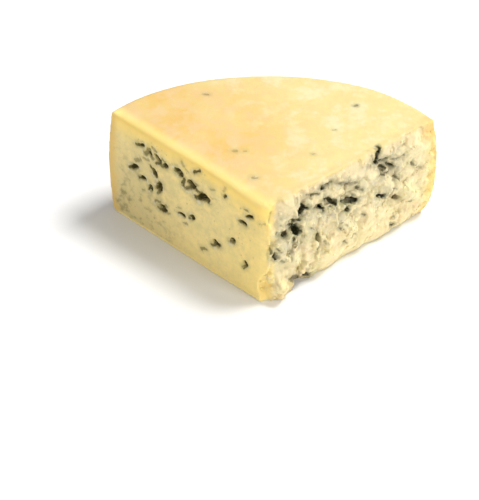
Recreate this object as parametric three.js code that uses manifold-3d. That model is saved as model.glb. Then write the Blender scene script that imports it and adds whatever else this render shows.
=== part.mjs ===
// A wedge of blue cheese: a little over a quarter of a small drum, resting on its base.
// One long side is a smooth knife cut and the other is a crumbly break. Both show the
// hollows that blue mould grows in. The top, the curved back and the base are rind.
//
// Millimetres, +Z up. The wedge points along -Y, with the knife cut on the left and the
// break on the right. The origin is the centre of the bounding box's base.

import * as THREE from "three";
import { ImprovedNoise } from "three/addons/math/ImprovedNoise.js";
import { mergeVertices } from "three/addons/utils/BufferGeometryUtils.js";
import Module from "manifold-3d";

// The drum that the wedge was cut from
const WHEEL_RADIUS = 95.4;
const HEIGHT_AT_TIP = 54.6;
const HEIGHT_AT_RIM = 55.6;
const WEDGE_ANGLE = THREE.MathUtils.degToRad(95.7);

// The rind's outline: a soft rim on top, a barrelled side that sagged outwards towards its
// worn foot, and a drum that isn't quite round
const TOP_ROUND = 2.6;
const FOOT_ROUND_HEIGHT = 5;
const FOOT_ROUND_DEPTH = 1.5;
const FOOT_FLARE = 2.2;
const SIDE_BULGE = 2.1;
const DRUM_LOBES = 6;
const LOBE_HEIGHT = 0.9;
const RIND_WOBBLE = 0.6;
const RIND_WAVELENGTH = 34;
const WHEEL_SEGMENTS = 120;
const ROUND_STEPS = 5;
const SIDE_STEPS = 8;
const TOP_STEPS = 22;

// The knife cut's top edge, which droops towards the tip
const TIP_DROOP = 4;
const DROOP_POWER = 1.5;
const DROOP_LENGTH = 38;
const DROOP_WIDTH = 6;

// The knife cut: nearly flat
const CUT_WAVE = 0.5;
const CUT_WAVELENGTH = 26;
const CUT_GRID = 5;

// The break: curds that stand out, crevices between them, smoother bands along the top,
// the foot and the rim, and a worn foot that leans in, most of all towards the rim
const BREAK_GRID = 2.2;
const BREAK_LEAN = 5.6;
const LEAN_POWER = 7;
const LEAN_SPREAD = 0.6;
const CURD_SPACING = 15;
const CURD_DOME = 1.6;
const CURD_WARP = 7;
const CREVICE_DEPTH = 1.5;
const CREVICE_WIDTH = 2.4;
const CRAG_HEIGHT = 1.5;
const CRAG_WAVELENGTH = 9;
const SMOOTH_TOP_BAND = 12;
const SMOOTH_FOOT_BAND = 7;
const SMOOTH_RIM_BAND = 14;

// The worn edge where the two cuts meet, which reaches further along the break
const TIP_WEAR = 2.2;
const KNIFE_WEAR_REACH = 6;
const BREAK_WEAR_REACH = 18;

// How rough a hollow or a lump is, as a share of its radius, and how deep a hollow is,
// as a share of its length and width together
const CRUMB_ROUGHNESS = 0.55;
const CRUMB_WAVELENGTH = 1.1;
const HOLLOW_DEPTH = 0.55;
const RANDOM_SEED = 11;
const NOISE_SPAN = 100;
const MERGE_DISTANCE = 1e-4;

const HALF_ANGLE = WEDGE_ANGLE / 2;
const FLOOR_MARGIN = 40;

const wasm = await Module();
wasm.setup();

// Seeded random numbers from 0 to 1.
function randomNumbers(seed) {
  let state = seed;
  return () => {
    state = (state + 0x6d2b79f5) | 0;
    let t = Math.imul(state ^ (state >>> 15), 1 | state);
    t = (t + Math.imul(t ^ (t >>> 7), 61 | t)) ^ t;
    return ((t ^ (t >>> 14)) >>> 0) / 2 ** 32;
  };
}

const random = randomNumbers(RANDOM_SEED);

function withSharedVertices(geometry) {
  geometry.deleteAttribute("normal");
  geometry.deleteAttribute("uv");
  return mergeVertices(geometry, MERGE_DISTANCE);
}

function toSolid(geometry) {
  const closed = withSharedVertices(geometry);
  return new wasm.Manifold(
    new wasm.Mesh({
      numProp: 3,
      vertProperties: closed.attributes.position.array,
      triVerts: new Uint32Array(closed.index.array),
    }),
  );
}

function toGeometry(solid) {
  const { vertProperties, triVerts } = solid.getMesh();
  const geometry = new THREE.BufferGeometry();
  geometry.setAttribute("position", new THREE.BufferAttribute(vertProperties, 3));
  geometry.setIndex(new THREE.BufferAttribute(triVerts, 1));
  return geometry;
}

// Moves every vertex by a rule that takes and changes a point.
function reshape(geometry, rule) {
  const positions = geometry.attributes.position;
  const point = new THREE.Vector3();
  for (let i = 0; i < positions.count; i++) {
    rule(point.fromBufferAttribute(positions, i));
    positions.setXYZ(i, point.x, point.y, point.z);
  }
  return geometry;
}

const perlin = new ImprovedNoise();

// A smooth random swell, between -1 and 1, of about that wavelength.
function swell(x, y, z, wavelength) {
  return perlin.noise(x / wavelength, y / wavelength, z / wavelength);
}

// The wheel's half section, from the base's centre round the rim to the top's centre.
function wheelProfile() {
  const footRadius = WHEEL_RADIUS + FOOT_FLARE;
  const foot = new THREE.Vector2(footRadius - FOOT_ROUND_DEPTH, FOOT_ROUND_HEIGHT);
  const shoulder = new THREE.Vector2(WHEEL_RADIUS - TOP_ROUND, HEIGHT_AT_RIM - TOP_ROUND);
  const profile = [new THREE.Vector2(0, 0)];
  for (let i = 0; i <= ROUND_STEPS; i++) {
    const angle = (Math.PI / 2) * (i / ROUND_STEPS - 1);
    profile.push(
      new THREE.Vector2(
        foot.x + FOOT_ROUND_DEPTH * Math.cos(angle),
        foot.y + FOOT_ROUND_HEIGHT * Math.sin(angle),
      ),
    );
  }
  for (let i = 1; i < SIDE_STEPS; i++) {
    const t = i / SIDE_STEPS;
    profile.push(
      new THREE.Vector2(
        THREE.MathUtils.lerp(footRadius, WHEEL_RADIUS, t) + SIDE_BULGE * Math.sin(Math.PI * t),
        THREE.MathUtils.lerp(foot.y, shoulder.y, t),
      ),
    );
  }
  for (let i = 0; i <= ROUND_STEPS; i++) {
    const angle = (Math.PI / 2) * (i / ROUND_STEPS);
    profile.push(
      new THREE.Vector2(
        shoulder.x + TOP_ROUND * Math.cos(angle),
        shoulder.y + TOP_ROUND * Math.sin(angle),
      ),
    );
  }
  for (let i = 1; i <= TOP_STEPS; i++) {
    const radius = shoulder.x * (1 - i / TOP_STEPS);
    const share = radius / shoulder.x;
    profile.push(
      new THREE.Vector2(radius, THREE.MathUtils.lerp(HEIGHT_AT_TIP, HEIGHT_AT_RIM, share ** 2)),
    );
  }
  return profile;
}

// How far a point of the top lies below it, beside the knife cut and close to the tip.
function tipDroop({ x, y }) {
  const along = y * Math.cos(HALF_ANGLE) - x * Math.sin(HALF_ANGLE);
  const behind = x * Math.cos(HALF_ANGLE) + y * Math.sin(HALF_ANGLE);
  const near = THREE.MathUtils.clamp(1 - along / DROOP_LENGTH, 0, 1) ** DROOP_POWER;
  return TIP_DROOP * near * Math.exp(-Math.max(0, behind) / DROOP_WIDTH);
}

// The whole wheel, axis on Z, with an uneven rind and a flat base.
function makeWheel() {
  const wheel = withSharedVertices(new THREE.LatheGeometry(wheelProfile(), WHEEL_SEGMENTS));
  wheel.rotateX(Math.PI / 2);
  return toSolid(
    reshape(wheel, (point) => {
      const clearOfBase = THREE.MathUtils.smoothstep(point.z, 0, FOOT_ROUND_HEIGHT);
      const rise = RIND_WOBBLE * clearOfBase * swell(point.x, point.y, point.z, RIND_WAVELENGTH);
      const lobe = -LOBE_HEIGHT * Math.cos(DRUM_LOBES * Math.atan2(point.x, point.y));
      const outward = 1 + (rise + lobe) / WHEEL_RADIUS;
      point.x *= outward;
      point.y *= outward;
      point.z += (rise - tipDroop(point)) * (point.z / HEIGHT_AT_RIM);
    }),
  );
}

// The frame of a cut: X to the right of someone who faces it, from the tip, Y up from the
// base and Z out of the cheese. The rim is at negative X on the knife cut (turn -1).
function cutFrame(turn) {
  return new THREE.Matrix4().makeBasis(
    new THREE.Vector3(Math.sin(HALF_ANGLE), turn * Math.cos(HALF_ANGLE), 0),
    new THREE.Vector3(0, 0, 1),
    new THREE.Vector3(turn * Math.cos(HALF_ANGLE), -Math.sin(HALF_ANGLE), 0),
  );
}

const KNIFE_CUT = cutFrame(-1);
const BREAK = cutFrame(1);

// The part of the wheel that a cut takes away: a slab whose near face has the cut's relief.
function wasteBeyond(frame, relief, grid) {
  const reach = WHEEL_RADIUS + FLOOR_MARGIN;
  const height = HEIGHT_AT_RIM + FLOOR_MARGIN;
  const slab = new THREE.BoxGeometry(
    2 * reach,
    height,
    2 * reach,
    Math.round((2 * reach) / grid),
    Math.round(height / grid),
    1,
  );
  slab.translate(0, HEIGHT_AT_RIM / 2, reach);
  reshape(slab, (point) => {
    if (point.z < reach) point.z += relief(point.x, point.y);
  });
  return toSolid(slab.applyMatrix4(frame));
}

function tipWear(x, reach) {
  return TIP_WEAR * Math.max(0, 1 - Math.abs(x) / reach) ** 2;
}

function knifeRelief(x, y) {
  return CUT_WAVE * swell(x, y, 0, CUT_WAVELENGTH) - tipWear(x, KNIFE_WEAR_REACH);
}

// Curd centres on the break, on a jittered grid.
function scatterCurds() {
  const curds = [];
  for (let x = -CURD_SPACING; x < WHEEL_RADIUS + CURD_SPACING; x += CURD_SPACING) {
    for (let y = 0; y < HEIGHT_AT_RIM; y += CURD_SPACING) {
      curds.push(
        new THREE.Vector2(x + CURD_SPACING * random(), y + CURD_SPACING * random()),
      );
    }
  }
  return curds;
}

const curds = scatterCurds();

function breakRelief(x, y) {
  const here = new THREE.Vector2(
    x + CURD_WARP * swell(x, y, 0, CURD_SPACING),
    y + CURD_WARP * swell(x, y, CURD_SPACING / 2, CURD_SPACING),
  );
  const [nearest, second] = curds.map((curd) => curd.distanceTo(here)).sort((a, b) => a - b);
  const dome = CURD_DOME * (0.5 - (nearest / CURD_SPACING) ** 2);
  const crevice = CREVICE_DEPTH * Math.exp(-(((second - nearest) / CREVICE_WIDTH) ** 2));
  const crag = CRAG_HEIGHT * swell(x, y, 0, CRAG_WAVELENGTH);
  const roughness =
    THREE.MathUtils.smoothstep(HEIGHT_AT_RIM - y, 0, SMOOTH_TOP_BAND) *
    THREE.MathUtils.smoothstep(y, -SMOOTH_FOOT_BAND, SMOOTH_FOOT_BAND) *
    THREE.MathUtils.smoothstep(WHEEL_RADIUS - x, 0, SMOOTH_RIM_BAND);
  const along = THREE.MathUtils.clamp(x / WHEEL_RADIUS, 0, 1);
  const low = THREE.MathUtils.clamp(1 - y / HEIGHT_AT_RIM, 0, 1);
  const lean = BREAK_LEAN * along ** LEAN_SPREAD * low ** LEAN_POWER;
  return roughness * (dome - crevice + crag) - lean - tipWear(x, BREAK_WEAR_REACH);
}

// A lump with rough sides, its length along X, turned and set on a cut.
function crumb(frame, { x, y, out = 0, length, width, depth, tilt = 0, detail = 1 }) {
  const shape = withSharedVertices(new THREE.IcosahedronGeometry(1, detail));
  const place = NOISE_SPAN * random();
  reshape(shape, (point) => {
    const bump = swell(point.x, point.y, point.z + place, CRUMB_WAVELENGTH);
    point.multiplyScalar(1 + CRUMB_ROUGHNESS * bump);
  });
  shape.scale(length / 2, width / 2, depth);
  shape.rotateZ(THREE.MathUtils.degToRad(tilt));
  shape.translate(x, y, out);
  return toSolid(shape.applyMatrix4(frame));
}

// The hollows that mould grows in, each by its middle, length, width and tilt on the cut.
const hollow = (x, y, length, width, tilt) => ({
  x,
  y,
  length,
  width,
  tilt,
  depth: HOLLOW_DEPTH * (length + width),
});

const KNIFE_CUT_HOLLOWS = [
  hollow(-75.8, 46.4, 4, 1.7, 20),
  hollow(-70.8, 44.6, 2.8, 2.2, 50),
  hollow(-65.8, 44.5, 4.8, 2.2, -25),
  hollow(-61, 43.2, 3.4, 2.6, 10),
  hollow(-52.5, 44.2, 4.4, 3, -15),
  hollow(-45.8, 41.4, 6.4, 3, -20),
  hollow(-38.4, 38, 8.8, 3.6, 18),
  hollow(-42.2, 49.9, 3.6, 1.7, 30),
  hollow(-25.2, 46, 2.4, 1.8, 60),
  hollow(-11.2, 42.8, 3.8, 1.8, 15),
  hollow(-14.6, 37.6, 3.8, 2, -10),
  hollow(-81, 32.4, 5.6, 2.6, 24),
  hollow(-75.8, 29.1, 4.4, 1.8, 12),
  hollow(-68, 36.4, 5.2, 2, -58),
  hollow(-65, 29.1, 6.6, 2.8, 78),
  hollow(-70.8, 25.9, 3.6, 2, -75),
  hollow(-63.6, 18.7, 6.2, 3, -18),
  hollow(-51.6, 21.5, 4, 1.9, -8),
  hollow(-45.2, 23.2, 3.8, 1.9, 62),
  hollow(-30.8, 17.6, 5.2, 2.4, -30),
  hollow(-21.2, 25, 4, 1.9, 20),
  hollow(-13.7, 16.2, 3.8, 2, -50),
];

const BREAK_HOLLOWS = [
  hollow(9.5, 34.5, 4.2, 3.2, 70),
  hollow(15.7, 34.4, 7, 5, -60),
  hollow(15.1, 26.8, 8, 1.9, 88),
  hollow(17.7, 42.7, 5.2, 3.2, 55),
  hollow(30.7, 49, 4.8, 2.8, 10),
  hollow(29.4, 38.5, 5.8, 2.2, -50),
  hollow(35.9, 39.6, 5.6, 2.4, -35),
  hollow(47, 34.5, 7.2, 3.4, -5),
  hollow(44.4, 30.6, 3.4, 2.6, -40),
  hollow(60.9, 49.9, 8.4, 2, 88),
  hollow(66.6, 45.7, 6, 2, -8),
  hollow(69.5, 41, 6.4, 2.4, -28),
  hollow(65, 27.9, 7.2, 2, -20),
  hollow(74.4, 21.8, 5.4, 2.8, -60),
  hollow(28.3, 20, 11, 2.4, 82),
  hollow(5, 24.2, 4.6, 2.4, -35),
  hollow(84.1, 14.6, 4.4, 2.2, -10),
];

// Where the tip's foot has broken: the chip that is gone, a lump that hangs on beside it
// and the undercut beyond, which opens at the base.
const FOOT_CHIP = { x: 0.4, y: 4.5, length: 8.5, width: 20, depth: 5.6, detail: 2 };
const FOOT_LUMP = { x: 8.6, y: 5.4, out: -2.2, length: 11, width: 11.6, depth: 5.4, detail: 3 };
const FOOT_UNDERCUT = {
  x: 20.2,
  y: 2.5,
  out: -1.5,
  length: 12,
  width: 11,
  depth: 7,
  tilt: -20,
  detail: 2,
};

// Everything below the surface that the cheese stands on.
function belowBase() {
  const size = 4 * WHEEL_RADIUS;
  const ground = new THREE.BoxGeometry(size, size, FLOOR_MARGIN);
  ground.translate(0, 0, -FLOOR_MARGIN / 2);
  return toSolid(ground);
}

function makeWedge() {
  let wedge = makeWheel()
    .subtract(wasteBeyond(KNIFE_CUT, knifeRelief, CUT_GRID))
    .subtract(wasteBeyond(BREAK, breakRelief, BREAK_GRID));
  for (const each of KNIFE_CUT_HOLLOWS) wedge = wedge.subtract(crumb(KNIFE_CUT, each));
  for (const each of BREAK_HOLLOWS) wedge = wedge.subtract(crumb(BREAK, each));
  return wedge
    .subtract(crumb(BREAK, FOOT_UNDERCUT))
    .subtract(crumb(BREAK, FOOT_CHIP))
    .add(crumb(BREAK, FOOT_LUMP))
    .subtract(belowBase());
}

const geometry = toGeometry(makeWedge());
geometry.computeBoundingBox();
const { min, max } = geometry.boundingBox;
geometry.translate(-(min.x + max.x) / 2, -(min.y + max.y) / 2, -min.z);
geometry.computeVertexNormals();

const cheese = new THREE.MeshStandardMaterial({
  color: 0xf3dd95,
  roughness: 0.6,
  metalness: 0,
});

const wedge = new THREE.Mesh(geometry, cheese);
wedge.name = "cheese_wedge";

const part = new THREE.Group();
part.add(wedge);

export default part;
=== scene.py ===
# %% [markdown]
# # A wedge of blue cheese
#
# The solid model already has the wedge at its real size: the drum's curve, the smooth knife
# cut, the crumbly break and the larger hollows. This lesson adds what makes it look like
# cheese: fine curd relief, blue mould in the hollows, a mottled rind and moist paste.
# The solid is loaded first and is never moved, so every piece below is made in its frame.

# %% Load the solid model
import math
from collections import namedtuple

import bmesh
import bpy
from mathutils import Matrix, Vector


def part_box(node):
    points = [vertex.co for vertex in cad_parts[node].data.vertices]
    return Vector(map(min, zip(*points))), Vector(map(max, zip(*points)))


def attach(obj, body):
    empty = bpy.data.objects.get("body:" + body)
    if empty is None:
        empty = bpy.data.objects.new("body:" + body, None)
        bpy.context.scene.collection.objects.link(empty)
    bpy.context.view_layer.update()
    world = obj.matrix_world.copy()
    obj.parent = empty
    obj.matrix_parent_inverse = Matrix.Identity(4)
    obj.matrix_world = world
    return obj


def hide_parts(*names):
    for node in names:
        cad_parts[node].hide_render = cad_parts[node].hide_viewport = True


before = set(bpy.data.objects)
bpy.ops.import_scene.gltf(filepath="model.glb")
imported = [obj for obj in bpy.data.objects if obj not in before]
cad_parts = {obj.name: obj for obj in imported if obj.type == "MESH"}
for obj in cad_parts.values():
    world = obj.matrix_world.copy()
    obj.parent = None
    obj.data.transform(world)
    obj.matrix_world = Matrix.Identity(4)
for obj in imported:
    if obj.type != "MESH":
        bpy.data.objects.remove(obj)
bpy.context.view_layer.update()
CHEESE_NODE = "cheese_wedge"
MM = 0.001

low, high = (Vector(corner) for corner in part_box(CHEESE_NODE))
print("wedge, in mm:", [round(side / MM, 1) for side in high - low])

# %% [markdown]
# ## The drum that the wedge was cut from
#
# Relief and colour both depend on where a point is: near the rind, on the knife cut or on the
# break. Regions painted by hand would be lost with each new mesh, so they are worked out from
# a few sizes of the drum. The tip lies on the drum's axis, and its place follows from the
# solid's box, because the rind is the furthest point behind.

# %% Sizes of the drum and the planes of its two cuts
DRUM_RADIUS = 95.4 * MM
SIDE_BULGE = 2.1 * MM
FOOT_FLARE = 2.2 * MM
RIND_REACH = 97.66 * MM
HEIGHT_AT_TIP = 54.6 * MM
HEIGHT_AT_RIM = 55.6 * MM
HALF_ANGLE = math.radians(95.7 / 2)
TIP_DROOP = 4 * MM
DROOP_LENGTH = 38 * MM
DROOP_WIDTH = 6 * MM
DROOP_POWER = 1.5

axis_y = high.y - RIND_REACH
tip = Vector((0, axis_y, 0))
knife_out = Vector((-math.cos(HALF_ANGLE), -math.sin(HALF_ANGLE), 0))
break_out = Vector((math.cos(HALF_ANGLE), -math.sin(HALF_ANGLE), 0))
knife_along = Vector((-math.sin(HALF_ANGLE), math.cos(HALF_ANGLE), 0))
print("drum's axis is", round(-axis_y / MM, 1), "mm in front of the box's centre")

# %% [markdown]
# ## Writing node trees as sums
#
# Both the relief and the finishes are node trees. Adding each node by hand hides the idea, so
# one small class stands for a socket. Python's operators on it add Math nodes, and its method
# `node` adds any other kind: settings first, then values or links for the sockets.

# %% A socket that can be added, multiplied and compared


class Wire:
    """An output socket of a node tree. A Wire with no socket only stands for the tree."""

    def __init__(self, tree, socket=None):
        self.tree = tree
        self.socket = socket

    def node(self, kind, settings=None, sockets=None, output=0):
        made = self.tree.nodes.new(kind)
        for name, value in (settings or {}).items():
            setattr(made, name, value)
        for key, value in (sockets or {}).items():
            if isinstance(value, Wire):
                self.tree.links.new(value.socket, made.inputs[key])
            else:
                made.inputs[key].default_value = value
        return Wire(self.tree, made.outputs[output] if made.outputs else None)

    def other(self, output):
        return Wire(self.tree, self.socket.node.outputs[output])

    def math(self, operation, *values, clamp=False):
        settings = {"operation": operation, "use_clamp": clamp}
        return self.node("ShaderNodeMath", settings, dict(enumerate(values)))

    def vector_math(self, operation, *values, output=0):
        settings = {"operation": operation}
        return self.node("ShaderNodeVectorMath", settings, dict(enumerate(values)), output)

    def __add__(self, value):
        return self.math("ADD", self, value)

    __radd__ = __add__

    def __sub__(self, value):
        return self.math("SUBTRACT", self, value)

    def __rsub__(self, value):
        return self.math("SUBTRACT", value, self)

    def __mul__(self, value):
        return self.math("MULTIPLY", self, value)

    __rmul__ = __mul__

    def __truediv__(self, value):
        return self.math("DIVIDE", self, value)

    def __pow__(self, value):
        return self.math("POWER", self, value)

    def least(self, value):
        return self.math("MINIMUM", self, value)

    def most(self, value):
        return self.math("MAXIMUM", self, value)

    def clamped(self):
        return self.math("ADD", self, 0, clamp=True)

    def rise(self, start, end):
        """0 up to start, 1 from end on, and a smooth step between. Start may exceed end."""
        sockets = {"Value": self, "From Min": start, "From Max": end}
        return self.node("ShaderNodeMapRange", {"interpolation_type": "SMOOTHSTEP"}, sockets)

    def dot(self, vector):
        return self.vector_math("DOT_PRODUCT", self, vector, output="Value")

    def away(self, place):
        return self.vector_math("DISTANCE", self, place, output="Value")

    def scaled(self, factor):
        return self.node("ShaderNodeVectorMath", {"operation": "SCALE"}, {0: self, "Scale": factor})

    def moved(self, step):
        return self.vector_math("ADD", self, step)

    def noise(self, wavelength, detail=2, roughness=0.5, seed=0, distortion=0, output=0):
        """Noise from 0 to 1 at this position, with swells of about that wavelength."""
        sockets = {"Vector": self, "W": seed, "Scale": 1 / wavelength, "Detail": detail}
        sockets.update({"Roughness": roughness, "Distortion": distortion})
        return self.node("ShaderNodeTexNoise", {"noise_dimensions": "4D"}, sockets, output)

    def jostled(self, wavelength, reach, seed=0):
        """This position, moved about by noise of that wavelength, about as far as the reach."""
        push = self.noise(wavelength, seed=seed, output="Color")
        push = push.vector_math("SUBTRACT", push, (0.5, 0.5, 0.5))
        return self.moved(push.scaled(2 * reach))

    def grains(self, size, feature="F1", seed=0):
        """The distance to the nearest of many scattered points, as a share of their spacing."""
        settings = {"voronoi_dimensions": "4D", "feature": feature}
        sockets = {"Vector": self, "W": seed, "Scale": 1 / size}
        return self.node("ShaderNodeTexVoronoi", settings, sockets, "Distance")

    def facets(self, size, seed=0):
        """Heights of broken faces of about that size, each leaning its own way."""
        settings = {"voronoi_dimensions": "4D", "feature": "F1"}
        sockets = {"Vector": self, "W": seed, "Scale": 1 / size}
        cell = self.node("ShaderNodeTexVoronoi", settings, sockets, "Color")
        lean = cell.vector_math("SUBTRACT", cell, (0.5, 0.5, 0.5))
        return lean.dot(self.vector_math("SUBTRACT", self, cell.other("Position")))

    def between(self, first, second):
        """A colour that goes from the first to the second as this value goes from 0 to 1."""
        sockets = {"Factor": self, 6: first, 7: second}
        return self.node("ShaderNodeMix", {"data_type": "RGBA"}, sockets, 2)

    def mix(self, factor, other):
        """This colour, going over to the other as the factor goes from 0 to 1."""
        return factor.between(self, other)


print("a Wire's methods:", [name for name in vars(Wire) if not name.startswith("_")])

# %% [markdown]
# ## Where a point lies in the cheese
#
# The wedge has rind on its top, side and base, a knife cut and a break. Depths tell them apart:
# those below the top and inside the rim, and those behind the planes of the two cuts. The same
# few sums serve the relief, which needs them as geometry fields, and the finish, which needs
# them as shader values. A pair of sizes that goes into `rise` says where a share is 0 and
# where it is 1.

# %% Depth below the rind and behind each cut
Depths = namedtuple("Depths", "below_top inside_rim height behind_knife behind_break")


def depth_behind(position, cut_out):
    """The distance from a cut's plane into the cheese."""
    return tip.dot(cut_out) - position.dot(cut_out)


def droop(position):
    """How far the top sags towards the tip, along the knife cut."""
    along = position.dot(knife_along) - tip.dot(knife_along)
    near_tip = (1 - along / DROOP_LENGTH).clamped() ** DROOP_POWER
    behind = depth_behind(position, knife_out).most(0)
    return TIP_DROOP * near_tip * behind.math("EXPONENT", behind / -DROOP_WIDTH)


def depths(position):
    """How deep a point lies below the top, the rim and both cuts, and its height."""
    x = position.node("ShaderNodeSeparateXYZ", {}, {0: position})
    height = x.other("Z")
    away_from_axis = (x ** 2 + (x.other("Y") - axis_y) ** 2) ** 0.5
    share = away_from_axis / DRUM_RADIUS
    top = HEIGHT_AT_TIP + (HEIGHT_AT_RIM - HEIGHT_AT_TIP) * share * share
    below_top = top - droop(position) - height
    way_up = (height / HEIGHT_AT_RIM).clamped()
    bulge = SIDE_BULGE * way_up.math("SINE", way_up * math.pi)
    inside_rim = DRUM_RADIUS + FOOT_FLARE * (1 - way_up) + bulge - away_from_axis
    behind_knife = depth_behind(position, knife_out)
    behind_break = depth_behind(position, break_out)
    return Depths(below_top, inside_rim, height, behind_knife, behind_break)


print("known at a point:", *Depths._fields)

# %% Shares of knife cut, break and paste
BREAK_REACH = (14 * MM, 9 * MM)
BREAK_TOP_EDGE = (0, 1.4 * MM)
CUT_EDGE = (0.4 * MM, 2.2 * MM)
TIP_EDGE = (4 * MM, 0.5 * MM)
KNIFE_EDGE = (0, 2 * MM)
RIND_EDGE = (0.8 * MM, 2.6 * MM)
Regions = namedtuple("Regions", "on_knife on_break inside")


def regions(at):
    """The shares of knife cut, of break and of paste inside the rind, at these depths."""
    inside = at.below_top.least(at.inside_rim).least(at.height).rise(*RIND_EDGE)
    on_break = at.behind_break.rise(*BREAK_REACH) * at.behind_knife.rise(*CUT_EDGE)
    on_break = on_break.most(at.behind_break.rise(*TIP_EDGE)) * at.below_top.rise(*BREAK_TOP_EDGE)
    on_break = on_break * at.inside_rim.least(at.height).rise(*RIND_EDGE)
    on_knife = (at.behind_break - at.behind_knife).rise(*KNIFE_EDGE) * inside
    return Regions(on_knife, on_break, inside)


print("regions:", *Regions._fields)

# %% [markdown]
# ## The veins
#
# Blue mould needs air, so it grows in the gaps between curds and along the holes of the
# needles that pricked the drum. On a cut these show as short dark strokes in loose diagonal
# streaks. Noise alone would put them anywhere, so each is placed one by one, as an edge of one
# hidden mesh. A row holds its two ends on the cut, each by its distance from the tip and its
# height in millimetres, then its width and how dark it is. The relief below digs along these
# strokes, and the finish paints them.
# A few strokes at the foot are painted shade: the shadow under the break's overhang, and the gap
# beside the lump, which also has a brown tint.

# %% Strokes of mould on the knife cut, and two of painted shade and brown tint at the tip's foot
KNIFE_VEINS_AND_SHADE = [
    (79.0, 45.5, 75.2, 46.9, 1.7, 0.95),
    (73.4, 43.4, 71.0, 46.8, 2.8, 0.70),
    (70.4, 44.6, 68.6, 43.2, 2.2, 0.65),
    (62.8, 45.8, 60.8, 44.6, 1.7, 0.60),
    (69.2, 48.9, 66.8, 47.7, 1.7, 0.60),
    (67.4, 46.0, 64.0, 44.4, 2.0, 0.70),
    (66.8, 41.8, 64.0, 43.0, 2.1, 0.90),
    (63.4, 41.8, 60.2, 43.8, 2.4, 0.80),
    (75.2, 40.0, 71.6, 41.2, 1.5, 0.45),
    (80.4, 36.2, 76.6, 38.6, 1.8, 0.50),
    (84.0, 30.6, 79.0, 33.0, 2.0, 1.00),
    (78.0, 28.1, 74.2, 29.3, 1.6, 0.95),
    (70.2, 38.4, 69.2, 36.8, 2.0, 0.90),
    (68.8, 35.8, 67.0, 34.4, 2.0, 0.95),
    (66.6, 28.2, 64.8, 31.8, 2.8, 1.00),
    (66.4, 25.4, 66.0, 27.0, 1.8, 0.75),
    (71.8, 24.6, 70.8, 26.8, 2.0, 0.95),
    (68.0, 20.4, 65.0, 21.6, 1.8, 0.65),
    (65.0, 19.6, 61.6, 21.0, 1.8, 0.60),
    (60.4, 17.4, 59.4, 18.4, 1.2, 0.45),
    (66.4, 17.4, 63.2, 17.2, 1.9, 0.90),
    (63.4, 17.2, 61.4, 18.8, 1.8, 1.00),
    (54.4, 44.8, 51.2, 43.6, 2.8, 1.00),
    (50.2, 38.8, 49.8, 42.2, 2.2, 0.95),
    (48.6, 38.0, 45.6, 39.4, 2.4, 0.85),
    (44.8, 40.0, 43.2, 41.4, 2.1, 0.90),
    (47.4, 41.6, 46.2, 40.4, 1.8, 0.70),
    (42.4, 40.2, 40.4, 39.4, 2.0, 0.85),
    (35.0, 36.2, 33.6, 37.2, 1.2, 0.50),
    (45.6, 43.6, 41.6, 42.4, 1.5, 0.60),
    (43.0, 35.8, 37.6, 38.0, 2.6, 1.00),
    (39.4, 40.4, 36.0, 38.6, 1.8, 0.85),
    (36.6, 39.0, 35.2, 37.2, 1.8, 0.90),
    (34.0, 40.6, 31.6, 41.0, 1.2, 0.30),
    (44.0, 48.6, 40.6, 50.8, 1.5, 0.95),
    (51.4, 50.4, 49.6, 49.2, 1.4, 0.40),
    (48.8, 48.0, 46.6, 46.6, 1.2, 0.35),
    (26.0, 45.4, 25.0, 46.4, 1.6, 0.90),
    (26.6, 48.0, 25.2, 50.4, 1.6, 0.30),
    (33.8, 45.0, 31.8, 46.0, 1.2, 0.40),
    (13.6, 45.4, 11.8, 45.6, 1.3, 0.60),
    (13.2, 41.8, 9.4, 43.6, 1.6, 0.95),
    (16.6, 37.4, 13.4, 37.8, 2.0, 0.90),
    (5.4, 42.2, 3.2, 42.8, 1.4, 0.35),
    (53.8, 21.2, 50.6, 22.2, 1.6, 0.95),
    (47.2, 22.4, 45.0, 24.6, 1.8, 1.00),
    (50.6, 17.4, 49.0, 18.2, 1.4, 0.60),
    (54.0, 24.6, 52.4, 25.4, 1.2, 0.35),
    (76.4, 22.0, 75.0, 22.8, 1.4, 0.35),
    (85.2, 11.4, 84.0, 12.4, 1.4, 0.30),
    (90.0, 13.2, 87.6, 14.4, 1.6, 0.40),
    (93.8, 6.8, 92.0, 7.8, 1.5, 0.40),
    (88.0, 4.2, 86.2, 4.8, 1.3, 0.35),
    (84.0, 2.4, 82.4, 3.0, 1.3, 0.35),
    (90.6, 17.0, 88.6, 19.0, 1.3, 0.30),
    (33.0, 16.0, 28.4, 18.2, 2.0, 0.85),
    (22.4, 23.4, 19.6, 24.6, 1.8, 0.80),
    (14.6, 13.6, 12.6, 16.4, 1.8, 0.80),
    (40.0, 9.6, 36.6, 11.0, 1.8, 0.65),
    # Partly painted shade, partly a brown tint: these two rows darken the gap at the tip's foot,
    # beside the lump.
    (0.8, 12.6, 3.2, 8.0, 1.2, 0.50),
    (2.4, 9.6, 1.4, 4.6, 1.9, 0.60),
]
print("strokes on the knife cut:", len(KNIFE_VEINS_AND_SHADE))
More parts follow.
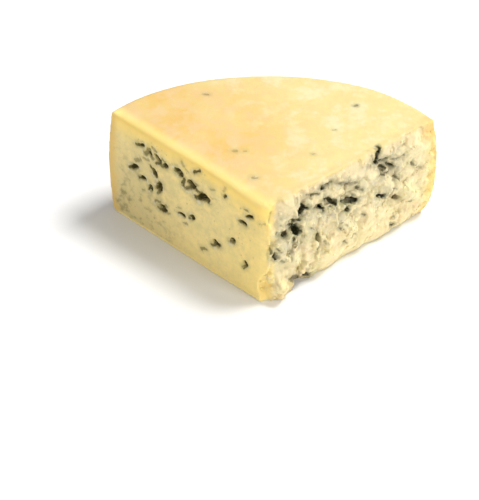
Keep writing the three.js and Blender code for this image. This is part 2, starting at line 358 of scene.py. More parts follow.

# %% Strokes of mould on the break, and a few of painted shade at its foot
BREAK_VEINS_AND_SHADE = [
    (8.2, 36.0, 9.6, 33.8, 2.2, 1.00),
    (13.6, 36.8, 16.6, 31.8, 3.6, 1.00),
    (14.8, 30.6, 14.0, 25.0, 1.2, 0.70),
    (13.6, 24.6, 12.8, 19.6, 1.1, 0.30),
    (16.4, 41.6, 18.8, 44.6, 2.6, 1.00),
    (18.6, 41.4, 20.2, 43.6, 2.2, 1.00),
    (14.2, 39.2, 17.4, 38.6, 1.8, 0.80),
    (10.6, 38.8, 12.6, 37.6, 1.3, 0.65),
    (6.8, 40.8, 8.0, 40.0, 1.1, 0.35),
    (3.2, 31.0, 2.8, 27.6, 1.5, 0.70),
    (3.8, 26.0, 5.4, 23.0, 1.6, 0.90),
    (0.4, 27.0, 1.2, 24.2, 1.3, 0.65),
    (5.8, 28.6, 6.8, 26.8, 1.0, 0.50),
    (3.4, 48.0, 2.0, 43.0, 1.1, 0.35),
    (7.4, 22.0, 9.0, 20.6, 1.3, 0.40),
    (26.6, 40.6, 29.4, 40.2, 1.6, 0.95),
    (29.2, 39.6, 31.4, 36.0, 1.4, 0.90),
    (30.6, 43.0, 33.2, 41.0, 1.5, 0.90),
    (34.6, 40.2, 37.4, 37.0, 1.7, 0.85),
    (34.2, 37.4, 35.6, 37.0, 1.3, 0.60),
    (29.0, 50.2, 30.4, 48.2, 2.0, 1.00),
    (31.4, 49.6, 35.0, 49.4, 1.4, 0.55),
    (23.8, 48.2, 28.6, 47.0, 1.3, 0.60),
    (20.4, 50.4, 23.4, 48.8, 1.1, 0.40),
    (38.0, 48.0, 42.4, 45.6, 2.0, 0.50),
    (43.2, 44.8, 48.2, 43.2, 2.0, 0.50),
    (42.8, 35.4, 46.2, 36.0, 2.2, 1.00),
    (45.0, 35.0, 49.0, 33.6, 2.4, 1.00),
    (43.0, 32.4, 44.6, 30.4, 1.8, 1.00),
    (50.0, 39.2, 52.0, 37.8, 1.4, 0.50),
    (62.0, 54.2, 60.8, 51.8, 1.7, 1.00),
    (60.8, 51.8, 61.4, 46.6, 1.7, 1.00),
    (57.0, 53.0, 58.6, 49.0, 1.4, 0.35),
    (62.8, 47.4, 68.6, 46.0, 1.5, 0.95),
    (63.2, 43.6, 66.0, 41.8, 1.5, 0.80),
    (67.8, 43.2, 71.6, 39.6, 1.4, 0.90),
    (62.4, 40.2, 65.4, 39.6, 1.4, 0.70),
    (65.6, 39.4, 69.0, 38.8, 1.4, 0.75),
    (71.0, 44.6, 74.0, 44.0, 1.3, 0.50),
    (74.0, 44.2, 78.0, 43.4, 1.5, 0.45),
    (82.2, 37.0, 84.2, 35.2, 1.5, 0.50),
    (85.2, 33.8, 88.6, 31.8, 1.3, 0.35),
    (72.8, 33.8, 75.2, 32.0, 1.5, 0.55),
    (62.0, 29.0, 66.0, 27.4, 1.3, 0.90),
    (70.4, 29.0, 73.6, 27.2, 1.0, 0.35),
    (72.2, 23.6, 76.4, 20.8, 1.9, 0.20),
    (82.2, 16.6, 84.8, 15.0, 1.4, 0.50),
    (40.0, 23.2, 41.4, 21.2, 1.4, 0.50),
    (42.2, 24.6, 44.0, 22.4, 1.2, 0.40),
    (54.0, 23.2, 55.4, 21.8, 1.3, 0.50),
    (22.6, 32.4, 26.0, 29.4, 0.9, 0.50),
    (26.0, 29.4, 28.0, 25.0, 0.9, 0.50),
    (28.2, 25.0, 28.2, 17.4, 1.4, 0.50),
    (45.0, 11.2, 46.4, 10.0, 1.3, 0.45),
    (73.4, 6.2, 76.2, 4.4, 1.7, 0.85),
    (74.0, 13.0, 74.6, 9.0, 1.0, 0.30),
    # Painted shadow: these two rows darken the undercut under the break's overhang, beside the
    # lump, to dark brown.
    (12.5, 10.0, 17.0, 7.0, 3.0, 0.75),
    (15.0, 6.0, 24.0, 3.0, 5.0, 0.75),
    # Partly painted shade, partly a brown tint: the gap between the lump and the tip's foot.
    (0.4, 15.4, 1.0, 12.6, 1.6, 0.70),
    (22.0, 8.6, 25.0, 6.6, 1.4, 0.35),
    (15.2, 51.4, 15.0, 49.6, 1.1, 0.35),
    (49.4, 15.0, 51.4, 12.6, 0.8, 0.35),
    (31.4, 20.0, 33.2, 18.4, 1.3, 0.30),
]
print("strokes on the break:", len(BREAK_VEINS_AND_SHADE))

# %% Pock marks in the top rind, by X and Y from the drum's axis, then width and strength
RIND_POCKS = [
    (35.5, 71.5, 1.5, 0.55),
    (-30.0, 78.0, 2.0, 0.42),
    (-16.0, 37.0, 2.0, 0.36),
    (-11.5, 37.4, 1.6, 0.32),
    (17.0, 36.0, 1.4, 0.32),
    (-7.0, 19.0, 2.0, 0.42),
    (26.0, 54.0, 1.0, 0.30),
]
POCK_LENGTH = 1.0
print("pock marks in the rind:", len(RIND_POCKS))

# %% One hidden mesh with all the strokes


def on_cut(cut_out, along, up):
    """The point of a cut at this distance from the tip and this height."""
    side = math.copysign(math.sin(HALF_ANGLE), cut_out.x)
    return tip + Vector((side * along, math.cos(HALF_ANGLE) * along, up)) * MM


def on_top(x, y):
    """The point of the top at this place, counted from the drum's axis."""
    share = math.hypot(x, y) * MM / DRUM_RADIUS
    top = HEIGHT_AT_TIP + (HEIGHT_AT_RIM - HEIGHT_AT_TIP) * share ** 2
    return tip + Vector((x * MM, y * MM, top))


def all_strokes():
    """The start, end, width and strength of each stroke on the cuts and the top."""
    for cut_out, rows in ((knife_out, KNIFE_VEINS_AND_SHADE), (break_out, BREAK_VEINS_AND_SHADE)):
        for start_along, start_up, end_along, end_up, width, strength in rows:
            start = on_cut(cut_out, start_along, start_up)
            yield start, on_cut(cut_out, end_along, end_up), width * MM, strength
    for x, y, width, strength in RIND_POCKS:
        yield on_top(x, y), on_top(x + POCK_LENGTH, y), width * MM, strength


def placed(name, data):
    """A new object in the scene that holds this mesh, light or camera."""
    made = bpy.data.objects.new(name, data)
    bpy.context.collection.objects.link(made)
    return made


def vein_mesh():
    """One edge for each stroke, with its width and strength on both ends."""
    ends = []
    widths = []
    strengths = []
    for start, end, width, strength in all_strokes():
        ends += [start, end]
        widths += [width] * 2
        strengths += [strength] * 2
    mesh = bpy.data.meshes.new("veins")
    mesh.from_pydata(ends, [(i, i + 1) for i in range(0, len(ends), 2)], [])
    mesh.attributes.new("width", "FLOAT", "POINT").data.foreach_set("value", widths)
    mesh.attributes.new("strength", "FLOAT", "POINT").data.foreach_set("value", strengths)
    return placed("veins", mesh)


veins = vein_mesh()
print("strokes in all:", len(veins.data.edges))

# %% [markdown]
# ## The curd body
#
# The break shows curds that crumbled apart, down to grains of a millimetre, and both cuts show
# hollows. Sculpting them by hand isn't repeatable, and bump alone leaves the outline smooth.
# So a copy of the solid is remeshed to an even half-millimetre skin, and Geometry Nodes wear
# its edges round, push it in and out by noise and dig out the veins. The tree also keeps, as
# attributes, the distance to the nearest vein, the depth in a hollow and the mould around, for
# the finish.

# %% An even skin over the solid
SKIN_GRAIN = 0.5 * MM
MERGE_DISTANCE = 0.001 * MM


def even_skin(node):
    """A copy of a node's mesh, its loose triangles joined, with an even grid laid over it."""
    mesh = bpy.data.meshes.new("cheese_body")
    welded = bmesh.new()
    welded.from_mesh(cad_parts[node].data)
    bmesh.ops.remove_doubles(welded, verts=welded.verts, dist=MERGE_DISTANCE)
    welded.to_mesh(mesh)
    welded.free()
    skin = placed("cheese_body", mesh)
    remesh = skin.modifiers.new("Even skin", "REMESH")
    remesh.mode = "VOXEL"
    remesh.voxel_size = SKIN_GRAIN
    return skin


skin = even_skin(CHEESE_NODE)
print("solid's faces:", len(skin.data.polygons))

# %% A tree with named inputs
SIZE = "NodeSocketFloat"
RELIEF = {
    "Curd height": (SIZE, 1.9 * MM),
    "Crumb lean": (SIZE, 0.75),
    "Crevice depth": (SIZE, 0.6 * MM),
    "Grain lean": (SIZE, 0.5),
    "Knife drag": (SIZE, 0.16 * MM),
    "Rind swell": (SIZE, 0.3 * MM),
    "Vein depth": (SIZE, 0.9 * MM),
    "Seed": (SIZE, 4.0),
    "Veins": ("NodeSocketObject", veins),
}


def new_tree(name, inputs):
    """A geometry tree, its inputs as Wires by name, and their values by identifier."""
    tree = bpy.data.node_groups.new(name, "GeometryNodeTree")
    tree.interface.new_socket("Geometry", in_out="INPUT", socket_type="NodeSocketGeometry")
    tree.interface.new_socket("Geometry", in_out="OUTPUT", socket_type="NodeSocketGeometry")
    values = {}
    for label, (kind, value) in inputs.items():
        socket = tree.interface.new_socket(label, in_out="INPUT", socket_type=kind)
        values[socket.identifier] = value
    start = Wire(tree).node("NodeGroupInput")
    wires = {label: start.other(label) for label in inputs}
    wires["Geometry"] = start
    return wires, values


def add_tree(piece, wires, values):
    """Puts a tree on a piece, with its inputs set before it is first evaluated."""
    tree = wires["Geometry"].tree
    modifier = piece.modifiers.new(tree.name, "NODES")
    modifier.node_group = tree
    for identifier, value in values.items():
        modifier[identifier] = value


def finish_tree(geometry, material):
    """Ends a tree: instances become mesh, and the mesh gets its material."""
    realized = geometry.node("GeometryNodeRealizeInstances", {}, {"Geometry": geometry})
    sockets = {"Geometry": realized, "Material": material}
    painted = geometry.node("GeometryNodeSetMaterial", {}, sockets)
    geometry.node("NodeGroupOutput", {}, {"Geometry": painted})


relief_wires, relief_values = new_tree("Curd relief", RELIEF)
print("inputs of the relief:", list(relief_wires))

# %% Steps that move a skin's points
EDGE_SOFTENING = 4
TOP_EDGE_SOFTENING = 80
TOP_EDGE_REACH = (11 * MM, 5 * MM)
BREAK_EDGE_SHARE = 0.35
SHARP_CORNER = (0, 7 * MM)


def blurred(field, kind, steps):
    """A value averaged with those of the points around it."""
    sockets = {"Value": field, "Iterations": steps}
    return field.node("GeometryNodeBlurAttribute", {"data_type": kind}, sockets)


def softened(geometry, steps, share=1.0):
    """The geometry with its edges worn round, more so where the share is high."""
    position = geometry.node("GeometryNodeInputPosition")
    around = blurred(position, "FLOAT_VECTOR", steps)
    step = position.vector_math("SUBTRACT", around, position).scaled(share)
    return geometry.node("GeometryNodeSetPosition", {}, {"Geometry": geometry, "Offset": step})


def pushed_out(geometry, distance):
    """The geometry with each point moved along its normal."""
    normal = geometry.node("GeometryNodeInputNormal")
    sockets = {"Geometry": geometry, "Offset": normal.scaled(distance)}
    return geometry.node("GeometryNodeSetPosition", {}, sockets)


def beside_top_edge(at):
    """1 along the edge between knife cut and top, less along the edge of the break."""
    from_knife = (at.below_top ** 2 + at.behind_knife ** 2) ** 0.5
    from_break = (at.below_top ** 2 + at.behind_break ** 2) ** 0.5
    beside_break = BREAK_EDGE_SHARE * from_break.rise(*TOP_EDGE_REACH)
    beside_knife = from_knife.rise(*TOP_EDGE_REACH) * at.inside_rim.rise(*SHARP_CORNER)
    return beside_knife.most(beside_break)


position = relief_wires["Geometry"].node("GeometryNodeInputPosition")
worn = softened(relief_wires["Geometry"], EDGE_SOFTENING)
worn = softened(worn, TOP_EDGE_SOFTENING, beside_top_edge(depths(position)))
print("the top's edges are worn round within", round(TOP_EDGE_REACH[0] / MM), "mm")

# %% Relief of the break, the knife cut and the rind
CURD_SIZE = 8 * MM
CRUMB_SIZE = 5.5 * MM
CRUMB_JOSTLE = (5 * MM, 1.6 * MM)
GRAIN_SIZE = 2.0 * MM
GRAIN_JOSTLE = (2 * MM, 0.6 * MM)
GAP_SHARE = 0.1
GAP_PATCHES = 14 * MM
DRAG_LENGTH = 9 * MM
SWELL_LENGTH = 11 * MM
RELIEF_BLUR = 1
SMOOTHEST = 0.5
SMOOTH_TOP_BAND = (2 * MM, 10 * MM)
SMOOTH_FOOT_BAND = (2 * MM, 16 * MM)
CLEAR_OF_FLOOR = (0.5 * MM, 6 * MM)


def surface_relief(position, wires):
    """How far each point of the skin moves out along its normal."""
    seed = wires["Seed"]
    at = depths(position)
    on_knife, on_break, inside = regions(at)
    craggy = at.below_top.rise(*SMOOTH_TOP_BAND) * at.height.rise(*SMOOTH_FOOT_BAND)
    roughness = SMOOTHEST + (1 - SMOOTHEST) * craggy
    curds = position.noise(CURD_SIZE, detail=3, roughness=0.55, seed=seed, distortion=0.4) - 0.5
    broken = position.jostled(*CRUMB_JOSTLE, seed)
    gaps = broken.grains(CRUMB_SIZE, "DISTANCE_TO_EDGE", seed).rise(GAP_SHARE, 0)
    grains = position.jostled(*GRAIN_JOSTLE, seed).facets(GRAIN_SIZE, seed)
    patches = position.noise(GAP_PATCHES, seed=seed + 5).rise(0.38, 0.62)
    crumb = (
        wires["Curd height"] * curds
        + wires["Crumb lean"] * broken.facets(CRUMB_SIZE, seed)
        + wires["Grain lean"] * grains
        - wires["Crevice depth"] * gaps * patches
    )
    drag = position.noise(DRAG_LENGTH, detail=3, roughness=0.6, seed=seed + 7) - 0.5
    swell = position.noise(SWELL_LENGTH, detail=3, seed=seed + 3) - 0.5
    return (
        on_break * roughness * crumb
        + on_knife * (1 - on_break) * wires["Knife drag"] * drag
        + (1 - inside) * at.height.rise(*CLEAR_OF_FLOOR) * wires["Rind swell"] * swell
    )


relief = blurred(surface_relief(position, relief_wires), "FLOAT", RELIEF_BLUR)
rough = pushed_out(worn, relief)
print("nodes in the relief:", len(relief_wires["Geometry"].tree.nodes))

# %% Distance to the nearest vein
VEIN_STEPS = 4
VEIN_WAVER = (4.5 * MM, 0.8 * MM, 3)
VEIN_FRAY = (1.6 * MM, 0.8 * MM, 6)
FARTHEST_VEIN = 8.0
SLIT_REACH = (3.5 * MM, 2 * MM)


def stored(geometry, name, field):
    """The geometry with a value kept on each point, under this name."""
    settings = {"data_type": "FLOAT", "domain": "POINT"}
    sockets = {"Geometry": geometry, "Name": name, "Value": field}
    return geometry.node("GeometryNodeStoreNamedAttribute", settings, sockets)


def named(wire, name):
    """A value that was kept on the points under this name."""
    return wire.node("GeometryNodeInputNamedAttribute", {"data_type": "FLOAT"}, {"Name": name})


def flat_on_cut(position):
    """Where a point of a cut lies on that cut's plane. Rind stays where it is."""
    at = depths(position)
    region = regions(at)
    to_knife = at.behind_knife * region.on_knife
    near_break = region.inside.most(at.behind_break.rise(*SLIT_REACH))
    to_break = at.behind_break * (1 - region.on_knife) * near_break
    flat = position
    for cut_out, step in ((knife_out, to_knife), (break_out, to_break)):
        direction = position.node("FunctionNodeInputVector", {"vector": cut_out})
        flat = flat.moved(direction.scaled(step))
    return flat


def nearest_vein(position, strokes):
    """The distance to the nearest vein in half widths, and that vein's strength."""
    ragged = flat_on_cut(position).jostled(*VEIN_WAVER).jostled(*VEIN_FRAY)
    sockets = {"Mesh": strokes, "Level": VEIN_STEPS}
    strokes = position.node("GeometryNodeSubdivideMesh", {}, sockets)
    sockets = {"Geometry": strokes, "Sample Position": ragged}
    nearest = position.node("GeometryNodeSampleNearest", {"domain": "POINT"}, sockets)

    def sampled(kind, field):
        sockets = {"Geometry": strokes, "Value": field, "Index": nearest}
        return position.node("GeometryNodeSampleIndex", {"data_type": kind}, sockets)

    spot = sampled("FLOAT_VECTOR", position)
    width = sampled("FLOAT", named(position, "width"))
    strength = sampled("FLOAT", named(position, "strength"))
    return (2 * ragged.away(spot) / width).least(FARTHEST_VEIN), strength


sockets = {"Object": relief_wires["Veins"]}
strokes = position.node("GeometryNodeObjectInfo", {}, sockets, "Geometry")
edge, strength = nearest_vein(position, strokes)
veined = stored(stored(rough, "vein", edge), "strength", strength)
print("points along each stroke:", 2 ** VEIN_STEPS + 1)

# %% Mould in the veins and in the solid's own hollows
VEIN_GROOVE = (1.0, 0.2)
VEIN_HAZE = (1.6, 0.4)
SHALLOWER_ON_KNIFE = 0.5
SURROUNDINGS = 150
HAZE_SPREAD = 450
KNIFE_HOLLOW = (0.12 * MM, 0.4 * MM)
BREAK_HOLLOW = (2.0 * MM, 3.6 * MM)
MOULD_CLEAR_OF_RIND = (1.5 * MM, 4 * MM)
MOULD_CLEAR_OF_FOOT = (9 * MM, 14 * MM)


def hollow_depth(position):
    """How far a point lies below the smoothed surface round it."""
    around = blurred(position, "FLOAT_VECTOR", SURROUNDINGS)
    out = blurred(position.node("GeometryNodeInputNormal"), "FLOAT_VECTOR", SURROUNDINGS)
    out = out.vector_math("NORMALIZE", out)
    return position.vector_math("SUBTRACT", around, position).dot(out)


def mould_in_veins(geometry, position, vein_depth):
    """Digs the veins and stores how mouldy each point is, with a wide haze round them."""
    at = depths(position)
    region = regions(at)
    on_knife = region.on_knife
    vein = named(position, "vein")
    strength = named(position, "strength")
    groove = vein.rise(*VEIN_GROOVE) * strength
    geometry = pushed_out(geometry, groove * (SHALLOWER_ON_KNIFE * on_knife - 1) * vein_depth)
    geometry = stored(geometry, "hollow", hollow_depth(position))
    depth = named(position, "hollow")
    hole = on_knife * depth.rise(*KNIFE_HOLLOW) + (1 - on_knife) * depth.rise(*BREAK_HOLLOW)
    hole = hole * region.inside * at.below_top.rise(*MOULD_CLEAR_OF_RIND)
    hole = hole * at.height.rise(*MOULD_CLEAR_OF_FOOT)
    geometry = stored(geometry, "hole", hole)
    mould = (vein.rise(*VEIN_HAZE) * strength).most(hole)
    return stored(geometry, "haze", blurred(mould, "FLOAT", HAZE_SPREAD))


mouldy = mould_in_veins(veined, position, relief_wires["Vein depth"])
print("nodes with the veins:", len(relief_wires["Geometry"].tree.nodes))

# %% [markdown]
# ## Finish: rind, paste and mould in one material
#
# The rind is the same cheese, dried and coloured. Two materials would leave a seam, so there is
# one, and its colour changes with the depth below the rind. The paste is pale, moist and
# slightly see-through. The mould is nearly black on the break and dark olive on the knife cut,
# with pale fluff and a grey-green haze around it. It follows the values kept on the skin.

# %% Colour of the rind
WARM_SPOT = (-48 * MM, -8 * MM, 55 * MM)
WARM_REACH = (78 * MM, 22 * MM)
RIND_PALE = (0.69, 0.60, 0.27, 1)
RIND_ORANGE = (0.70, 0.44, 0.12, 1)
RIND_PINK = (0.71, 0.49, 0.23, 1)
RIND_CREAM = (0.71, 0.65, 0.39, 1)
YELLOW_RIND_AND_HIGHLIGHT = (0.95, 0.75, 0.27, 1)
TAN_RIND_AND_SHADE = (0.60, 0.47, 0.20, 1)
SIDE_RIND_AND_SHADE = (0.62, 0.44, 0.19, 1)
RIND_PIT = (0.37, 0.26, 0.13, 1)
PIT_SPACING = 9 * MM
YELLOW_STRIP = (7 * MM, 1 * MM)
TAN_STRIP = (5 * MM, 0.5 * MM)
SIDE_FROM_RIM = (7 * MM, 3 * MM)
SIDE_FROM_TOP = (2 * MM, 7 * MM)


def rind_colour(position, at, wander):
    """Mottled yellow, more orange near the knife cut. The strip along the knife cut is partly
    painted highlight; the tan strip at the break and the dull side are partly painted shade.
    """
    warm = position.away(WARM_SPOT).rise(*WARM_REACH)
    blotch = position.noise(19 * MM, detail=4, roughness=0.6, seed=2.0, distortion=0.4)
    mottle = position.noise(8 * MM, detail=4, roughness=0.65, seed=5.0, distortion=0.3)
    cream = position.noise(10 * MM, detail=3, roughness=0.55, seed=9.0).rise(0.46, 0.66)
    freckle = position.noise(2.4 * MM, detail=3, roughness=0.6, seed=14.0).rise(0.42, 0.7)
    orange = (0.12 + 0.88 * warm) * (0.55 + 0.45 * blotch.rise(0.36, 0.62))
    colour = orange.between(RIND_PALE, RIND_ORANGE)
    colour = colour.mix(0.9 * mottle.rise(0.42, 0.62) * (0.3 + 0.7 * warm), RIND_PINK)
    colour = colour.mix(0.8 * cream * (1 - 0.8 * warm), RIND_CREAM)
    colour = colour.mix(0.28 * freckle, RIND_PINK)
    # Partly painted highlight: the top's strip beside the knife cut is made brighter yellow, over
    # the rind's own yellow there.
    colour = colour.mix(0.75 * at.behind_knife.rise(*YELLOW_STRIP), YELLOW_RIND_AND_HIGHLIGHT)
    # Partly painted shade: the top's strip at the broken edge is made darker tan, over the peach of
    # the crumbled rind there.
    colour = colour.mix(0.85 * (at.behind_break + 0.5 * wander).rise(*TAN_STRIP), TAN_RIND_AND_SHADE)
    # Partly painted shade: the side, which turns away from the lights, gets a darker tan than its
    # own dull colour.
    side = at.inside_rim.rise(*SIDE_FROM_RIM) * at.below_top.rise(*SIDE_FROM_TOP)
    colour = colour.mix((0.9 - 0.25 * cream) * side, SIDE_RIND_AND_SHADE)
    pits = position.grains(PIT_SPACING, seed=3.0).rise(0.10, 0.03)
    return colour.mix(0.3 * pits, RIND_PIT)


print("warm rind reaches", round(WARM_REACH[0] / MM), "mm from its warmest spot")

# %% Colour of the paste
CUT_PASTE = (0.83, 0.65, 0.26, 1)
BREAK_PASTE = (0.81, 0.69, 0.40, 1)
GREEN_PASTE = (0.55, 0.50, 0.22, 1)
GREY_PASTE = (0.53, 0.44, 0.24, 1)
TAN_PASTE = (0.73, 0.52, 0.29, 1)
DULL_PASTE_AND_SHADE = (0.44, 0.37, 0.18, 1)
FLECKED_PASTE = (0.21, 0.16, 0.07, 1)
UNDER_RIND = (0.91, 0.66, 0.18, 1)
UPPER_BREAK = (0.67, 0.54, 0.31, 1)
BREAK_RIM = (0.79, 0.59, 0.18, 1)
KNIFE_RIM = (0.70, 0.46, 0.12, 1)
DULL_CORNER = (88, 4)
DULL_REACH = (50 * MM, 6 * MM)
UPPER_BAND = (13 * MM, 2 * MM)
YELLOW_TIP = (32 * MM, 4 * MM)
RIM_BAND = (9 * MM, 1 * MM)
NARROWER_ON_KNIFE = 2 * MM
BAND_WANDER = 6 * MM


def paste_colour(position, at, on_knife):
    """Cream paste, yellower towards the rind, and duller and darker low down at the knife cut's far
    end, partly a real grey tint with dark specks and partly painted shade.
    """
    colour = on_knife.between(BREAK_PASTE, CUT_PASTE)
    green = position.noise(7 * MM, detail=4, roughness=0.65, seed=11.0, distortion=0.5)
    colour = colour.mix((0.42 - 0.14 * on_knife) * green.rise(0.4, 0.64), GREEN_PASTE)
    tan = position.noise(8 * MM, detail=3, roughness=0.6, seed=17.0).rise(0.5, 0.7)
    colour = colour.mix(0.4 * tan * (1 - on_knife), TAN_PASTE)
    speckle = position.noise(1.8 * MM, detail=4, roughness=0.7, seed=1.0).rise(0.42, 0.7)
    colour = colour.mix(0.32 * speckle, GREY_PASTE)
    # Partly painted shade, partly a real grey tint: the knife cut darkens towards its far foot; the
    # dark flecks there are real specks.
    far_foot_shade_and_specks = position.away(on_cut(knife_out, *DULL_CORNER)).rise(*DULL_REACH) * on_knife
    colour = colour.mix(0.5 * far_foot_shade_and_specks, DULL_PASTE_AND_SHADE)
    flecks = position.noise(4.5 * MM, detail=4, roughness=0.65, seed=33.0).rise(0.5, 0.66)
    colour = colour.mix(0.6 * far_foot_shade_and_specks * flecks, FLECKED_PASTE)
    wander = BAND_WANDER * (position.noise(12 * MM, detail=3, seed=6.0) - 0.5)
    upper = (at.below_top + wander).rise(*UPPER_BAND) * (0.75 + 0.25 * on_knife)
    colour = colour.mix(upper, on_knife.between(UPPER_BREAK, UNDER_RIND))
    colour = colour.mix(0.4 * on_knife * at.behind_break.rise(*YELLOW_TIP), UNDER_RIND)
    rim_start = RIM_BAND[0] - NARROWER_ON_KNIFE * on_knife
    rim = (at.inside_rim + wander).rise(rim_start, RIM_BAND[1])
    return colour.mix(0.9 * rim, on_knife.between(BREAK_RIM, KNIFE_RIM))


print("paste is yellow down to", round(UPPER_BAND[0] / MM), "mm under the top")

# %% Colour of the mould
MOULD_DARK = (0.020, 0.021, 0.007, 1)
MOULD_BROWN = (0.070, 0.060, 0.014, 1)
MOULD_OLIVE = (0.115, 0.096, 0.022, 1)
MOULD_FLUFF = (0.66, 0.60, 0.43, 1)
MOULD_HALO = (0.19, 0.18, 0.08, 1)
MOULD_HAZE = (0.45, 0.41, 0.28, 1)
KNIFE_HAZE = (0.50, 0.44, 0.20, 1)
HAZE_GAIN = 11
HAZE_BELOW_TOP = (1 * MM, 7 * MM)
HAZE_ABOVE_FOOT = (8 * MM, 26 * MM)
SPECK_SPACING = 2.3 * MM
CORE_EDGE = (1.3, 0.45)
CORE_FRAY = 2.8
HOLE_EDGE = (0.2, 0.8)
HOLE_FRAY = 1.2
HALO_EDGE = (3.6, 0.9)
HALO_FRAY = 3.0
FLUFF_EDGE = (3.6, 1.4)


def attribute(start, name):
    """A value that the relief kept on the skin."""
    settings = {"attribute_name": name, "attribute_type": "GEOMETRY"}
    return start.node("ShaderNodeAttribute", settings, {}, "Fac")


def dark_core(position, edge, strength, ragged):
    """Where mould covers the paste: the veins and the hollows, with bare spots left in them."""
    faintness = 1.5 - 0.8 * strength
    frayed = edge + CORE_FRAY * ragged * faintness
    hole = (attribute(position, "hole") + HOLE_FRAY * ragged).rise(*HOLE_EDGE)
    bare = position.noise(1.3 * MM, seed=27.0).rise(0.56, 0.7)
    return (frayed.rise(*CORE_EDGE) * strength).most(hole) * (1 - 0.55 * bare)


def mould_over(colour, position, at, on_knife):
    """The colour with haze, halo, fluff and dark cores over it, and the cores' share."""
    edge = attribute(position, "vein")
    strength = attribute(position, "strength")
    ragged = position.noise(1.8 * MM, detail=5, roughness=0.7, seed=8.0) - 0.5
    hazy = at.below_top.rise(*HAZE_BELOW_TOP) * at.height.rise(*HAZE_ABOVE_FOOT)
    haze = (attribute(position, "haze") * HAZE_GAIN).clamped() * hazy
    patches = position.noise(3.4 * MM, detail=3, roughness=0.6, seed=12.0).rise(0.36, 0.64)
    smear = on_knife.between(MOULD_HAZE, KNIFE_HAZE)
    colour = colour.mix(haze * (0.12 + 0.6 * patches) * (1 - 0.45 * on_knife), smear)
    halo = (edge + HALO_FRAY * ragged).rise(*HALO_EDGE) * strength * (0.7 - 0.3 * on_knife)
    specks = position.grains(SPECK_SPACING, seed=4.0).rise(0.26, 0.10) * haze
    colour = colour.mix(halo.most(0.5 * specks), MOULD_HALO)
    tufts = position.noise(2.2 * MM, detail=3, roughness=0.6, seed=29.0).rise(0.5, 0.62)
    colour = colour.mix(0.6 * tufts * edge.rise(*FLUFF_EDGE) * strength, MOULD_FLUFF)
    brown = position.noise(2.6 * MM, seed=15.0).rise(0.45, 0.65)
    dark = (0.6 * brown).between(MOULD_DARK, MOULD_BROWN).mix(0.9 * on_knife, MOULD_OLIVE)
    core = dark_core(position, edge, strength, ragged)
    return colour.mix(core, dark), core


print("haze starts", round(HAZE_BELOW_TOP[0] / MM), "mm below the top")

# %% The whole finish
TIP_SEAM = (-5 * MM, 1 * MM)
SEAM_WANDER = 1.2
RIND_WANDER = 7 * MM
RIND_THICKNESS = (2.4 * MM, 0.3 * MM)
RAGGED_RIND = (22 * MM, 6 * MM)
BEHIND_BOTH_CUTS = (14 * MM, 22 * MM)
WARM_PATCHES = [(92, 50, 8, 0.60), (13, 5, 12, 0.35)]
PATCH_CORE = 0.3
CREVICE = (0.2 * MM, 1.8 * MM)
PASTE_ROUGHNESS = 0.52
ROUGHNESS_SWING = 0.16
MOULD_ROUGHER = 0.35
BUMP = {"Strength": 0.6, "Distance": 0.9 * MM}
MOIST = {
    "Subsurface Weight": 0.2,
    "Subsurface Radius": (1.0, 0.55, 0.2),
    "Subsurface Scale": 2 * MM,
    "Specular IOR Level": 0.25,
}


def shader_start(name):
    """An empty material, and a Wire that stands for its tree."""
    material = bpy.data.materials.new(name)
    material.use_nodes = True
    material.node_tree.nodes.clear()
    return material, Wire(material.node_tree)


def shader_end(start, sockets):
    """Ends a material's tree with one surface."""
    surface = start.node("ShaderNodeBsdfPrincipled", {}, sockets)
    start.node("ShaderNodeOutputMaterial", {}, {"Surface": surface})


def rind_share(at, wander, on_knife):
    """1 on the rind and 0 on the paste, with a ragged border along the break."""
    under_rind = at.below_top.least(at.inside_rim).least(at.height)
    ragged = 0.2 + 0.8 * at.behind_break.rise(*RAGGED_RIND) * (1 - on_knife)
    rind = (under_rind + wander * ragged).rise(*RIND_THICKNESS)
    return rind.most(at.behind_knife.least(at.behind_break).rise(*BEHIND_BOTH_CUTS))


def stained(colour, position):
    """The colour with an orange stain at two corners of the break."""
    for along, up, reach, share in WARM_PATCHES:
        away = position.away(on_cut(break_out, along, up))
        patch = away.rise(reach * MM, PATCH_CORE * reach * MM)
        colour = colour.mix(share * patch, RIND_ORANGE)
    return colour


def blue_cheese():
    """The finish of the whole wedge."""
    material, start = shader_start("blue_cheese")
    position = start.node("ShaderNodeTexCoord", {}, {}, "Object")
    at = depths(position)
    wander = RIND_WANDER * (position.noise(5 * MM, detail=3, roughness=0.6, seed=19.0) - 0.5)
    on_knife = (at.behind_break - at.behind_knife + SEAM_WANDER * wander).rise(*TIP_SEAM)
    paste = paste_colour(position, at, on_knife)
    # Painted shade and mould tint: the break is greyed in its hollows, where shade falls between
    # the curds and mould grows.
    crevice_mould_and_shade = attribute(start, "hollow").rise(*CREVICE)
    paste = paste.mix(0.55 * crevice_mould_and_shade * (1 - on_knife), GREY_PASTE)
    rind = rind_share(at, wander, on_knife)
    colour = paste.mix(rind, rind_colour(position, at, wander))
    colour, core = mould_over(stained(colour, position), position, at, on_knife)
    fine = position.noise(0.9 * MM, detail=4, roughness=0.6, seed=21.0)
    coarse = position.noise(3.2 * MM, detail=3, roughness=0.55, seed=23.0)
    bumps = (0.5 * fine + 0.5 * coarse - 0.5) * (1 - 0.5 * on_knife.most(rind))
    sockets = {
        "Base Color": colour,
        "Roughness": PASTE_ROUGHNESS + ROUGHNESS_SWING * (coarse - 0.5) + MOULD_ROUGHER * core,
        "Normal": start.node("ShaderNodeBump", {}, {**BUMP, "Height": bumps}),
    }
    shader_end(start, {**MOIST, **sockets})
    return material


cheese_finish = blue_cheese()
print("nodes in the finish:", len(cheese_finish.node_tree.nodes))

# %% Build the body
DENSEST = 190_000


